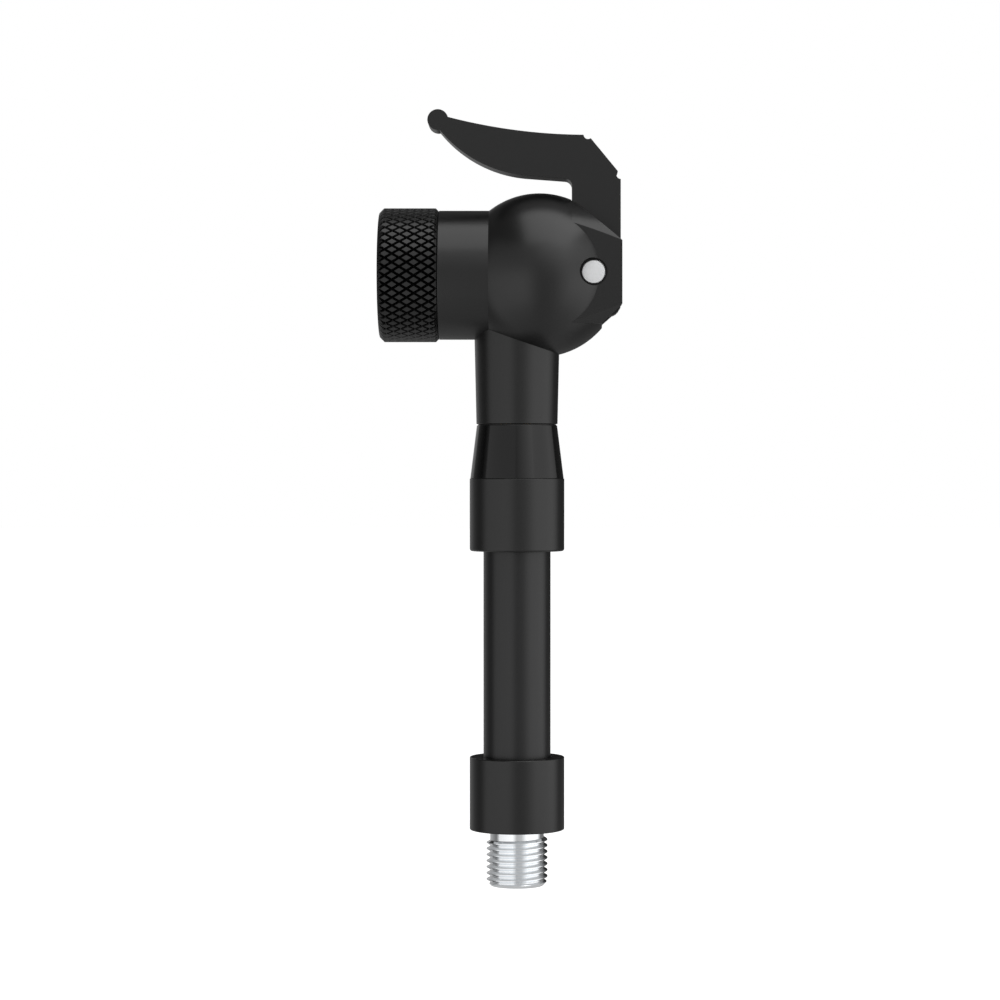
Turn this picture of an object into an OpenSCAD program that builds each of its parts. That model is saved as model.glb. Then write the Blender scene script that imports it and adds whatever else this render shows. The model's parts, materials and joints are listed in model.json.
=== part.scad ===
// Lever-lock tyre valve chuck on a short hose, with a threaded end that screws into a pump.
// Frame: Z runs up the hose axis, X along the head axis with the valve mouth at -X.
// The origin is on the hose axis, in the plane of the seat face above the thread.
// All sizes are in millimetres.

/* [Threaded end] */
// Major diameter of the male thread
thread_d = 10; // [8:0.5:10]
// Pitch of the male thread
thread_pitch = 1; // [0.75:0.25:1.5]
// Length of the threaded stub below the seat face
stub_length = 9.2; // [7:0.2:14]
// Length of the thread relief next to the seat face
relief_length = 1.4; // [1:0.1:2]
// Chamfer at the end of the stub
stub_chamfer = 0.8; // [0.4:0.1:1]
// Step from the thread's crests out to the fitting's shank inside the lower ferrule
shank_step = 0.2; // [0.2:0.05:0.5]
// Height of the shank's foot above the seat face
shank_recess = 0.3; // [0.1:0.05:0.6]
// Diameter of the air bore through both fittings
air_bore_d = 3; // [2:0.25:3.25]

/* [Hose] */
// Outer diameter of the hose
hose_d = 11; // [11:0.5:14]
// Inner diameter of the hose
hose_bore_d = 5.5; // [5.25:0.25:6.5]
// Length of hose between the two ferrules
hose_free_length = 33.7; // [20:0.4:120]
// Barbs on the tail of each fitting
barb_count = 4; // [2:1:5]
// Height of each barb above the root of the tail
barb_height = 0.5; // [0.3:0.05:0.6]
// Share of each barb's length that is straight
barb_land = 0.2; // [0.1:0.05:0.4]
// Room between the end of each tail and the open end of its ferrule
tail_room = 1; // [0.5:0.1:2]

/* [Ferrules] */
// Wall of the crimp ferrules around the hose
ferrule_wall = 2.2; // [1.4:0.1:3]
// Length of each ferrule
ferrule_length = 11.9; // [10:0.1:18]
// Thickness of each ferrule's end web
ferrule_web = 1.5; // [1:0.1:2.5]
// Chamfer on the ferrules' crisp edges
ferrule_chamfer = 0.15; // [0.1:0.05:0.5]
// Rounding of the upper ferrule's lower edge
ferrule_round = 0.4; // [0.2:0.1:1]
// Thickness of the fittings' flanges inside the ferrules
flange_t = 1.5; // [1:0.1:2]

/* [Swivel] */
// Length of the tapered collar
taper_length = 8.7; // [6:0.1:14]
// Diameter of the tapered collar at its top
taper_top_d = 13.15; // [13:0.05:15]
// Step from the ferrule down to the foot of the tapered collar
taper_step = 0.1; // [0.05:0.05:0.6]
// Diameter of the stem inside the ferrule web and the tapered collar
stem_collar_d = 9.5; // [9:0.25:10.5]
// Diameter of the journal that the head turns on
journal_d = 8; // [7:0.25:8.5]
// Length of the journal inside the neck
journal_length = 12.4; // [12:0.2:13.5]
// Open gap between the tapered collar and the neck
swivel_gap = 0.2; // [0.15:0.05:0.6]
// Distance of the washer in that gap from the edge of the tapered collar
washer_inset = 0.5; // [0.3:0.05:0.8]
// Height of the lower swivel O-ring above the foot of the neck
lower_ring_height = 2.6; // [2:0.1:3]
// Distance between the two swivel O-rings
ring_spacing = 2.7; // [2.4:0.1:3.2]
// Height of the lock ring above the foot of the neck
clip_height = 9; // [8.4:0.1:9.6]
// Room between the end of the journal and the end of its bore
journal_end_room = 0.5; // [0.2:0.1:1]
// Thickness of the lock ring
clip_t = 0.9; // [0.6:0.1:1.2]
// Radial width of the lock ring
clip_width = 1.2; // [0.9:0.05:1.3]
// Angle of the gap in the lock ring, in degrees
clip_opening = 50; // [30:5:90]

/* [Head] */
// Height of the head axis above the foot of the neck
neck_length = 24.4; // [22:0.2:34]
// Diameter of the neck at its foot
neck_d = 13.3; // [13:0.05:16]
// Diameter that the neck has grown to at the head axis
neck_top_d = 14.4; // [13.2:0.1:17]
// Diameter of the ball
ball_d = 26.8; // [26:0.1:30]
// Distance of the ball's centre behind the hose axis
ball_offset = 3.7; // [2.5:0.1:4.5]
// Diameter of the barrel
barrel_d = 21.1; // [20:0.1:23]
// Distance from the hose axis to the barrel's front shoulder
barrel_reach = 12.8; // [12:0.1:18]
// Diameter of the male thread on the spigot that carries the cap
spigot_d = 17; // [16.6:0.1:17.4]
// Small edge chamfer on the housing
housing_chamfer = 0.3; // [0.1:0.05:0.5]

/* [Cheeks] */
// Width across the flats of the two cheeks
cheek_width = 18.6; // [16:0.2:20]
// Distance from the hose axis to the back face of the cheeks
tail_reach = 17.05; // [16.6:0.05:18]
// Height of the back face above the head axis
back_height = 5.1; // [4.2:0.1:6]
// Distance from the hose axis to where the tapered tail leaves the ball
facet_start = 9.2; // [8.9:0.05:9.6]
// Distance from the hose axis to where the lower roof cut and the heel slot start
heel_start = 13.9; // [13.2:0.1:14.2]
// Fall of the roof facet towards the back, in degrees
roof_slope = 41; // [38:1:46]
// Rise of the facet under the tail towards the back, in degrees
heel_slope = 42; // [40:1:46]
// Taper of the round shoulders of the tail towards the back, in degrees
shoulder_slope = 11.7; // [9:0.1:13]

/* [Lever] */
// Thickness of the lever plate
lever_t = 5.8; // [4:0.2:7]
// Distance from the hose axis to the lever pin
pin_reach = 12.4; // [12:0.1:12.6]
// Diameter of the lever pin
pin_d = 3.9; // [3:0.1:4.2]
// Diameter of the countersinks around the ends of the pin
pin_recess_d = 4.4; // [4.2:0.1:5.2]
// Depth of the countersinks, from the cheek flats
pin_recess_depth = 1; // [0.5:0.1:2]
// Distance of the pin's ends below the cheek flats
pin_sink = 0.1; // [0.05:0.05:0.4]
// Chamfer on the ends of the pin
pin_chamfer = 0.15; // [0.1:0.05:0.5]
// Distance from the pin to the cam face that bears on the piston when released
cam_rest = 3.9; // [3.6:0.1:4.2]
// Distance that the lever drives the piston over its full swing
stroke = 2.8; // [1.6:0.1:3.2]
// Distance of the lever's back edge inside the back face of the cheeks
lever_inset = 0.1; // [0.05:0.05:0.3]
// Rounding of the heel's corner
heel_round = 1.9; // [0.8:0.1:2.4]
// Distance from the pin to the arm's front edge above the ball
arm_front = 3.4; // [2.9:0.1:3.5]
// Height of the handle's top over the arm, above the head axis
handle_top = 22.75; // [21:0.05:28]
// Radius of the handle's top edge
handle_top_r = 91; // [60:1:140]
// Distance from the hose axis to the lowest point of the handle's top edge
handle_top_reach = 11.6; // [9:0.2:13]
// Height of the lowest point of the hollow underside's circle above the head axis
handle_under = 16; // [15.2:0.1:19]
// Distance from the hose axis to the middle of that circle
handle_under_reach = 3.25; // [2:0.05:4]
// Fall of the underside's straight run towards the arm, in degrees
handle_under_slope = 4.3; // [2:0.1:8]
// Radius of the handle's hollow underside
handle_under_r = 20.4; // [19.6:0.2:26]
// Distance from the hose axis to the bead at the handle's tip
bead_reach = 12.9; // [9:0.05:15]
// Diameter of the bead at the handle's tip
bead_d = 3.4; // [2.8:0.1:4.5]
// Height of the bead above the middle of the handle's tip
bead_lift = 0.2; // [0:0.05:0.4]
// Rounding where the handle meets the arm
arm_round = 1.2; // [0.4:0.1:1.6]
// Distance from the hose axis to the upper corner of the arm's sloped back
corner_reach = 11.6; // [11:0.1:13]
// Height of the lower corner of the arm's sloped back above the head axis
corner_height = 16.25; // [14:0.05:18]
// Radius of the relief notches at both corners of the slope
notch_r = 0.7; // [0.3:0.05:1]

/* [Piston] */
// Diameter of the piston
piston_d = 12; // [11.4:0.1:12.2]
// Length of bore behind the released piston
piston_runout = 0.6; // [0.4:0.1:1]
// Cord diameter of all O-rings
ring_section = 1.5; // [1.2:0.1:1.8]
// Width of the O-ring grooves beyond the O-rings
groove_room = 0.3; // [0.1:0.05:0.4]
// Diameter of the air port between the neck and the piston bore
port_d = 3.5; // [2.5:0.1:3.6]
// Diameter of the air passage down the middle of the piston
piston_bore_d = 4.4; // [3.8:0.1:5]
// Width of the lands between the piston's grooves
piston_land = 0.6; // [0.4:0.05:0.8]
// Depth of the air groove around the piston
air_groove_depth = 1.2; // [0.6:0.1:1.5]
// Diameter of the cross hole through the air groove
cross_hole_d = 2.4; // [1.6:0.1:2.8]
// Diameter of the depressor's tip
depressor_d = 3; // [2.6:0.1:3.4]
// Distance that the depressor stands proud of the thrust washer
depressor_reach = 1.3; // [0.8:0.1:2]
// Length of the depressor's shank inside the piston
depressor_shank = 6; // [4:0.5:8]
// Diameter of the air hole through the depressor
depressor_bore_d = 1.4; // [0.8:0.1:1.6]
// Chamfer at the depressor's tip
depressor_chamfer = 0.2; // [0.1:0.05:0.4]
// Width of the slot across the depressor's tip
depressor_slot = 0.8; // [0.5:0.1:1]

/* [Valve end] */
// Diameter of the knurled cap over its diamonds
cap_d = 21.9; // [21:0.1:24]
// Length of the knurled cap
cap_length = 9.6; // [9:0.1:12]
// Thickness of the cap's front wall
cap_wall = 2; // [1.4:0.1:3]
// Diameter of the mouth in the cap's front wall
mouth_d = 9; // [8.6:0.1:10.5]
// Chamfer at the cap's front edge
cap_front_chamfer = 0.75; // [0.4:0.05:1]
// Chamfer at the cap's rear edge
cap_rear_chamfer = 0.45; // [0.2:0.05:0.8]
// Outer diameter of the rubber seal and the thrust washer
seal_d = 14; // [13.4:0.1:14.2]
// Length of the rubber seal
seal_length = 8; // [7:0.1:9]
// Diameter of the seal's hole, which grips the valve
valve_hole_d = 8; // [7.6:0.1:8.4]
// Diameter of the recess in the back of the seal, around the depressor
seal_recess_d = 10; // [9:0.1:11]
// Thickness of the thrust washer
thrust_t = 1; // [0.8:0.1:1.4]

/* [Clearances] */
// Radial clearance of turning and sliding fits
running_gap = 0.04; // [0.02:0.01:0.08]
// Radial clearance of the seal and the thrust washer in the barrel
seal_gap = 0.08; // [0.04:0.01:0.1]
// Radial clearance of the cap's thread
thread_gap = 0.06; // [0.04:0.01:0.1]
// Radial clearance between the hose and what it is fitted to
hose_gap = 0.05; // [0.02:0.01:0.1]
// Clearance at each side of the lever in its slot
slot_gap = 0.1; // [0.05:0.01:0.2]
// Clearance between faces that meet end to end
face_gap = 0.05; // [0.03:0.01:0.1]
// Clearance of pressed and snug pieces inside one assembly
snug_gap = 0.02; // [0.01:0.01:0.04]
// Radial clearance between the thrust washer and the depressor
depressor_gap = 0.25; // [0.1:0.05:0.4]
// Space in the seal's recess beyond the depressor's tip
recess_room = 0.4; // [0.2:0.1:0.8]
// Space between the end of the spigot and the cap's front wall
spigot_play = 1; // [0.6:0.1:1.6]

/* [Hidden] */
$fn = 96;
// How far a cutting shape runs past the face it cuts
over = 1;

// Radii
thread_r = thread_d / 2;
shank_r = thread_r + shank_step;
hose_r = hose_d / 2;
ferrule_bore_r = hose_r + hose_gap;
ferrule_r = ferrule_bore_r + ferrule_wall;
air_bore_r = air_bore_d / 2;
stem_collar_r = stem_collar_d / 2;
journal_r = journal_d / 2;
neck_bore_r = journal_r + running_gap;
ball_r = ball_d / 2;
barrel_r = barrel_d / 2;
piston_r = piston_d / 2;
cylinder_r = piston_r + running_gap;
pin_r = pin_d / 2;
seal_r = seal_d / 2;
chamber_r = seal_r + seal_gap;
spigot_r = spigot_d / 2;

// Heights along the hose axis
lower_top = ferrule_length;
upper_foot = lower_top + hose_free_length;
upper_top = upper_foot + ferrule_length;
taper_top = upper_top + taper_length;
neck_foot = taper_top + swivel_gap;
head_height = neck_foot + neck_length;

// Places along the head axis, the valve end first
shoulder_x = -barrel_reach;
cap_rear_x = shoulder_x - face_gap;
cap_front_x = cap_rear_x - cap_length;
cap_floor_x = cap_front_x + cap_wall;
seal_front_x = cap_floor_x + face_gap;
seal_back_x = seal_front_x + seal_length;
thrust_front_x = seal_back_x + face_gap;
thrust_back_x = thrust_front_x + thrust_t;
piston_front_x = thrust_back_x + face_gap;
piston_back_x = pin_reach - cam_rest - face_gap;

// The lever's cam is an involute, so equal angles push the piston by equal steps
swing = 90;
cam_base_r = stroke / (swing * PI / 180);
cam_locked = cam_rest + stroke;
lever_back_x = tail_reach - lever_inset;
heel_sweep_r = norm([lever_back_x - pin_reach - heel_round, cam_locked - heel_round]) + heel_round;
pocket_r = heel_sweep_r + slot_gap;
slot_front_x = pin_reach - arm_front - slot_gap;
slot_width = lever_t + 2 * slot_gap;

// Points of an arc around centre c from angle a to angle b, in degrees
function arc(c, r, a, b, steps = 24) =
    [for (i = [0:steps]) c + r * [cos(a + (b - a) * i / steps), sin(a + (b - a) * i / steps)]];

// A body turned about Z from [radius, height] points
module turned(points) {
    rotate_extrude() polygon(points);
}

// A round bar about Z between two heights
module bar(r, from, to) {
    translate([0, 0, from]) cylinder(h = to - from, r = r);
}

// A round tube about Z between two heights
module tube(r, bore_r, from, to) {
    difference() {
        bar(r, from, to);
        bar(bore_r, from - over, to + over);
    }
}

// Turns what was made about Z so that its height runs along the head axis
module on_head_axis() {
    translate([0, 0, head_height]) rotate([0, 90, 0]) children();
}

// Puts an outline drawn as [place behind the hose axis, height above the head axis] upright
module side_plate(width) {
    translate([0, width / 2, head_height]) rotate([90, 0, 0]) linear_extrude(width) children();
}

// An O-ring that seals against a bore, centred at a height about Z
module o_ring(bore_r, height) {
    middle_r = bore_r - snug_gap - ring_section / 2;
    translate([0, 0, height]) rotate_extrude() translate([middle_r, 0]) circle(d = ring_section, $fn = 48);
}

// The groove for that O-ring
module o_ring_groove(bore_r, height) {
    floor_r = bore_r - ring_section - 2 * snug_gap;
    half = (ring_section + groove_room) / 2;
    tube(bore_r + over, floor_r, height - half, height + half);
}

// ---------- threaded end and hose ----------

// Depth of a 60 degree thread, and its flat crest
thread_depth = 0.6134 * thread_pitch;
thread_crest = thread_pitch / 8;
thread_root_r = thread_r - thread_depth;

// Crests and roots of the thread below the relief, as [radius, height] points going down
function thread_points() =
    let (turns = ceil((stub_length - relief_length) / thread_pitch), flank = thread_depth * tan(30))
    [for (i = [0:turns - 1])
        let (z = -relief_length - (i + 0.5) * thread_pitch)
        each [[thread_root_r, z + thread_crest / 2 + flank], [thread_r, z + thread_crest / 2],
            [thread_r, z - thread_crest / 2], [thread_root_r, z - thread_crest / 2 - flank]]];

// Tail that grips the hose, pointing up from z = 0, with its barbs facing back
tail_length = ferrule_length - ferrule_web - flange_t - tail_room;
barb_crest_r = hose_bore_d / 2 - hose_gap;
barb_root_r = barb_crest_r - barb_height;

module barbed_tail() {
    step = tail_length / barb_count;
    turned(concat([[0, 0]],
        [for (i = [0:barb_count - 1])
            each [[barb_crest_r, i * step], [barb_crest_r, (i + barb_land) * step],
                [barb_root_r, (i + 1) * step]]],
        [[0, tail_length]]));
}

module threaded_fitting() {
    color("gainsboro") difference() {
        union() {
            intersection() {
                turned(concat([[0, over], [thread_root_r, over]], thread_points(),
                    [[0, -stub_length - thread_pitch]]));
                turned([[0, over], [thread_r + over, over],
                    [thread_r + over, -stub_length + stub_chamfer + over],
                    [thread_r - stub_chamfer, -stub_length], [0, -stub_length]]);
            }
            bar(shank_r, shank_recess, ferrule_web + snug_gap);
            bar(hose_r - hose_gap, ferrule_web + snug_gap, ferrule_web + flange_t);
            translate([0, 0, ferrule_web + flange_t]) barbed_tail();
        }
        bar(air_bore_r, -stub_length - over, ferrule_length + over);
    }
}

module lower_ferrule() {
    color("#2b2b2b") difference() {
        turned([[0, 0], [ferrule_r - ferrule_chamfer, 0], [ferrule_r, ferrule_chamfer],
            [ferrule_r, lower_top - ferrule_chamfer], [ferrule_r - ferrule_chamfer, lower_top],
            [0, lower_top]]);
        bar(shank_r + snug_gap, -over, ferrule_length);
        bar(ferrule_bore_r, ferrule_web, lower_top + over);
    }
}

module hose() {
    end_inset = ferrule_web + flange_t + face_gap;
    color("#303030") tube(hose_r, hose_bore_d / 2, end_inset, upper_top - end_inset);
}

// ---------- swivel ----------

module upper_ferrule() {
    round_centre = [ferrule_r - ferrule_round, upper_foot + ferrule_round];
    color("#2b2b2b") difference() {
        rotate_extrude() union() {
            polygon([[0, upper_foot], [ferrule_r - ferrule_round, upper_foot],
                [ferrule_r, upper_foot + ferrule_round], [ferrule_r, upper_top - ferrule_chamfer],
                [ferrule_r - ferrule_chamfer, upper_top], [0, upper_top]]);
            translate(round_centre) circle(ferrule_round);
        }
        bar(stem_collar_r + snug_gap, upper_foot, upper_top + over);
        bar(ferrule_bore_r, upper_foot - over, upper_top - ferrule_web);
    }
}

journal_top = neck_foot + journal_length;
lower_ring_z = neck_foot + lower_ring_height;
upper_ring_z = lower_ring_z + ring_spacing;
clip_z = neck_foot + clip_height;
// When the lock ring is squeezed flush with the journal, its inside just clears this floor
clip_floor_r = journal_r - clip_width - snug_gap;
// The lock ring springs out so that half its width stands in the neck's groove
clip_r = journal_r + clip_width / 2;
// Half the width of the lock ring's grooves
clip_half = clip_t / 2 + face_gap;

module swivel_stem() {
    flange_top = upper_top - ferrule_web - snug_gap;
    color("silver") difference() {
        union() {
            translate([0, 0, upper_top - ferrule_web - flange_t]) mirror([0, 0, 1]) barbed_tail();
            bar(hose_r - hose_gap, upper_top - ferrule_web - flange_t, flange_top);
            bar(stem_collar_r, flange_top, taper_top);
            turned([[0, taper_top], [journal_r, taper_top], [journal_r, journal_top - housing_chamfer],
                [journal_r - housing_chamfer, journal_top], [0, journal_top]]);
        }
        bar(air_bore_r, upper_foot - over, journal_top + over);
        o_ring_groove(neck_bore_r, lower_ring_z);
        o_ring_groove(neck_bore_r, upper_ring_z);
        tube(journal_r + over, clip_floor_r, clip_z - clip_half, clip_z + clip_half);
    }
}

module tapered_collar() {
    foot_r = ferrule_r - taper_step;
    top_r = taper_top_d / 2;
    color("#161616") difference() {
        turned([[0, upper_top], [foot_r, upper_top], [top_r, taper_top], [0, taper_top]]);
        bar(stem_collar_r + snug_gap, upper_top - over, taper_top + over);
    }
}

module swivel_o_ring_lower() {
    color("#1c1c1c") o_ring(neck_bore_r, lower_ring_z);
}

module swivel_o_ring_upper() {
    color("#1c1c1c") o_ring(neck_bore_r, upper_ring_z);
}

module swivel_lock_ring() {
    reach = 2 * clip_r;
    half_gap = reach * tan(clip_opening / 2);
    color("darkgray") difference() {
        tube(clip_r, clip_r - clip_width, clip_z - clip_t / 2, clip_z + clip_t / 2);
        translate([0, 0, clip_z - clip_t]) linear_extrude(2 * clip_t)
            polygon([[0, 0], [reach, -half_gap], [reach, half_gap]]);
    }
}

module swivel_washer() {
    color("#101010")
        tube(taper_top_d / 2 - washer_inset, journal_r + snug_gap, taper_top, neck_foot - face_gap);
}

// ---------- head ----------

// What a facet that falls towards the back from roof_start takes off above the axis
module facet_cut(roof_start, slope) {
    top = 2 * ball_r;
    roof_z = back_height + (tail_reach - roof_start) * tan(slope);
    translate([0, ball_r, 0]) rotate([90, 0, 0]) linear_extrude(2 * ball_r)
        polygon([[roof_start, roof_z], [tail_reach + over, back_height - over * tan(slope)],
            [tail_reach + over, top], [roof_start, top]]);
}

// Tail that tapers from the ball to the back, between the two cheek flats
module tail() {
    root_x = (ball_offset + facet_start) / 2;
    start_r = sqrt(pow(ball_r, 2) - pow(facet_start - ball_offset, 2));
    cheek_drop = sqrt(pow(start_r, 2) - pow(cheek_width / 2, 2)) + housing_chamfer;
    length = tail_reach + over - root_x;
    root_r = start_r + (facet_start - root_x) * tan(shoulder_slope);
    translate([root_x, 0, 0]) intersection() {
        rotate([0, 90, 0]) cylinder(h = length, r1 = root_r, r2 = root_r - length * tan(shoulder_slope));
        translate([0, -cheek_width / 2, -cheek_drop]) cube([length, cheek_width, cheek_drop + ball_r]);
    }
}

// Ball, cheeks, barrel and neck before they are bored
module head_blank() {
    spigot_front = cap_floor_x + spigot_play;
    turned([[0, neck_foot], [neck_d / 2 - housing_chamfer, neck_foot],
        [neck_d / 2, neck_foot + housing_chamfer], [neck_top_d / 2, head_height], [0, head_height]]);
    on_head_axis() turned([[0, shoulder_x], [barrel_r - housing_chamfer / 2, shoulder_x],
        [barrel_r, shoulder_x + housing_chamfer / 2], [barrel_r, ball_offset], [0, ball_offset]]);
    translate([0, 0, head_height]) difference() {
        union() {
            translate([ball_offset, 0, 0]) rotate([0, 90, 0]) sphere(ball_r);
            tail();
        }
        facet_cut(facet_start, roof_slope);
        mirror([0, 0, 1]) facet_cut(heel_start, heel_slope);
        translate([tail_reach, -ball_d, -ball_d]) cube(2 * ball_d);
    }
    on_head_axis() turned([[0, spigot_front], [spigot_r - housing_chamfer, spigot_front],
        [spigot_r, spigot_front + housing_chamfer], [spigot_r, shoulder_x], [0, shoulder_x]]);
}

// The lever's slot: round pocket for the heel, open above, behind and under the heel
module lever_slot() {
    side_plate(slot_width) {
        translate([pin_reach, 0]) circle(pocket_r);
        translate([slot_front_x, 0]) square([tail_reach + over - slot_front_x, ball_r + over]);
        translate([heel_start, -ball_r]) square([tail_reach + over - heel_start, ball_r + over]);
    }
}

module head_housing() {
    bore_end = piston_back_x + piston_runout;
    pin_floor = cheek_width / 2 - pin_recess_depth;
    color("#2a2a2a") difference() {
        head_blank();
        on_head_axis() bar(chamber_r, cap_front_x, piston_front_x);
        on_head_axis() bar(cylinder_r, piston_front_x - over, bore_end);
        bar(port_d / 2, journal_top, head_height);
        bar(neck_bore_r, neck_foot - over, journal_top + journal_end_room);
        tube(clip_r + face_gap, journal_r / 2, clip_z - clip_half, clip_z + clip_half);
        lever_slot();
        translate([pin_reach, 0, head_height]) rotate([90, 0, 0]) {
            bar(pin_r + snug_gap, -ball_r, ball_r);
            bar(pin_recess_d / 2, pin_floor, ball_r);
            bar(pin_recess_d / 2, -ball_r, -pin_floor);
        }
    }
}

module lever_pin() {
    half = cheek_width / 2 - pin_sink;
    color("lightgray") translate([pin_reach, 0, head_height]) rotate([90, 0, 0])
        turned([[0, -half], [pin_r - pin_chamfer, -half], [pin_r, -half + pin_chamfer],
            [pin_r, half - pin_chamfer], [pin_r - pin_chamfer, half], [0, half]]);
}

// ---------- lever ----------

// Cam edge around the pin, from the face that bears on the piston to the flat of the heel
function cam_points(steps = 24) =
    [for (i = [0:steps])
        let (turn = swing * i / steps, reach = cam_rest + stroke * i / steps)
        [pin_reach, 0] - reach * [cos(turn), sin(turn)] + cam_base_r * [sin(turn), -cos(turn)]];

module lever_outline() {
    under_centre = [handle_under_reach, handle_under + handle_under_r];
    top_centre = [handle_top_reach, handle_top + handle_top_r];
    under_start = acos((-bead_reach - under_centre[0]) / handle_under_r);
    top_start = acos((-bead_reach - top_centre[0]) / handle_top_r);
    top_end = acos((corner_reach - top_centre[0]) / handle_top_r);
    front_x = pin_reach - arm_front;
    fall = handle_under_slope;
    round_x = front_x - arm_round;
    round_z = under_centre[1]
        - (handle_under_r + arm_round + (round_x - under_centre[0]) * sin(fall)) / cos(fall);
    bead_z = bead_lift + (under_centre[1] - handle_under_r * sin(under_start)
        + top_centre[1] - handle_top_r * sin(top_start)) / 2;
    difference() {
        union() {
            polygon(concat(
                arc(under_centre, handle_under_r, -under_start, -90 - fall),
                arc([round_x, round_z], arm_round, 90 - fall, 0, 8),
                [[front_x, cam_rest + arm_front], [pin_reach - cam_rest, cam_rest]],
                cam_points(),
                arc([lever_back_x - heel_round, heel_round - cam_locked], heel_round, -90, 0, 12),
                [[lever_back_x, corner_height], [corner_reach, handle_top]],
                arc(top_centre, handle_top_r, -top_end, -top_start)));
            translate([-bead_reach, bead_z]) circle(d = bead_d);
        }
        translate([lever_back_x, corner_height]) circle(notch_r);
        translate([corner_reach, handle_top]) circle(notch_r);
        translate([pin_reach, 0]) circle(pin_r + running_gap);
    }
}

module lever() {
    color("#262626") side_plate(lever_t) lever_outline();
}

// ---------- piston ----------

// Both O-rings stay clear of the port over the whole stroke
ring_groove_half = (ring_section + groove_room) / 2;
rear_ring_x = port_d / 2 + stroke + ring_groove_half;
front_ring_x = -rear_ring_x;

module piston() {
    groove_from = front_ring_x + ring_groove_half + piston_land;
    groove_to = rear_ring_x - ring_groove_half - piston_land;
    groove_middle = (groove_from + groove_to) / 2;
    color("goldenrod") on_head_axis() difference() {
        bar(piston_r, piston_front_x, piston_back_x);
        o_ring_groove(cylinder_r, front_ring_x);
        o_ring_groove(cylinder_r, rear_ring_x);
        tube(piston_r + over, piston_r - air_groove_depth, groove_from, groove_to);
        bar(piston_bore_d / 2, piston_front_x - over, groove_middle);
        translate([0, 0, groove_middle]) rotate([0, 90, 0]) bar(cross_hole_d / 2, -piston_r, piston_r);
    }
}

module piston_o_ring_front() {
    color("#1c1c1c") on_head_axis() o_ring(cylinder_r, front_ring_x);
}

module piston_o_ring_rear() {
    color("#1c1c1c") on_head_axis() o_ring(cylinder_r, rear_ring_x);
}

module core_depressor() {
    tip = thrust_front_x - depressor_reach;
    tip_r = depressor_d / 2;
    shank_end = piston_front_x + depressor_shank;
    color("khaki") on_head_axis() difference() {
        union() {
            turned([[0, tip], [tip_r - depressor_chamfer, tip], [tip_r, tip + depressor_chamfer],
                [tip_r, piston_front_x], [0, piston_front_x]]);
            bar(piston_bore_d / 2 - snug_gap, piston_front_x, shank_end);
        }
        bar(depressor_bore_d / 2, tip - over, shank_end + over);
        translate([-depressor_d, -depressor_slot / 2, tip - over])
            cube([2 * depressor_d, depressor_slot, over + depressor_reach / 2]);
    }
}

module thrust_washer() {
    color("silver") on_head_axis()
        tube(seal_r, depressor_d / 2 + depressor_gap, thrust_front_x, thrust_back_x);
}

// ---------- valve end ----------

module valve_seal() {
    recess = depressor_reach + recess_room;
    color("#1a1a1a") on_head_axis() difference() {
        bar(seal_r, seal_front_x, seal_back_x);
        bar(valve_hole_d / 2, seal_front_x - over, seal_back_x + over);
        bar(seal_recess_d / 2, seal_back_x - recess, seal_back_x + over);
    }
}

module knurled_cap() {
    cap_r = cap_d / 2;
    mouth_r = mouth_d / 2;
    color("#242424") on_head_axis() difference() {
        turned([[0, cap_front_x], [cap_r - cap_front_chamfer, cap_front_x],
            [cap_r, cap_front_x + cap_front_chamfer], [cap_r, cap_rear_x - cap_rear_chamfer],
            [cap_r - cap_rear_chamfer, cap_rear_x], [0, cap_rear_x]]);
        bar(spigot_r + thread_gap, cap_floor_x, cap_rear_x + over);
        bar(mouth_r, cap_front_x - over, cap_floor_x + over);
        turned([[0, cap_front_x - over], [mouth_r + cap_rear_chamfer + over, cap_front_x - over],
            [mouth_r, cap_front_x + cap_rear_chamfer], [0, cap_front_x + cap_rear_chamfer]]);
    }
}

threaded_fitting();
lower_ferrule();
hose();
upper_ferrule();
swivel_stem();
tapered_collar();
swivel_o_ring_lower();
swivel_o_ring_upper();
swivel_lock_ring();
swivel_washer();
head_housing();
lever_pin();
lever();
piston();
piston_o_ring_front();
piston_o_ring_rear();
core_depressor();
thrust_washer();
valve_seal();
knurled_cap();
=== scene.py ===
# %% [markdown]
# # A lever-lock valve chuck on a short hose
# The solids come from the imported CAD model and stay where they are. This script puts finer pieces around them:
# turned bodies with broken edges, a real helical thread, a diamond knurl, and the finishes of the real materials.
# All measures below are millimetres; one helper turns them into Blender's metres.

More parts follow.
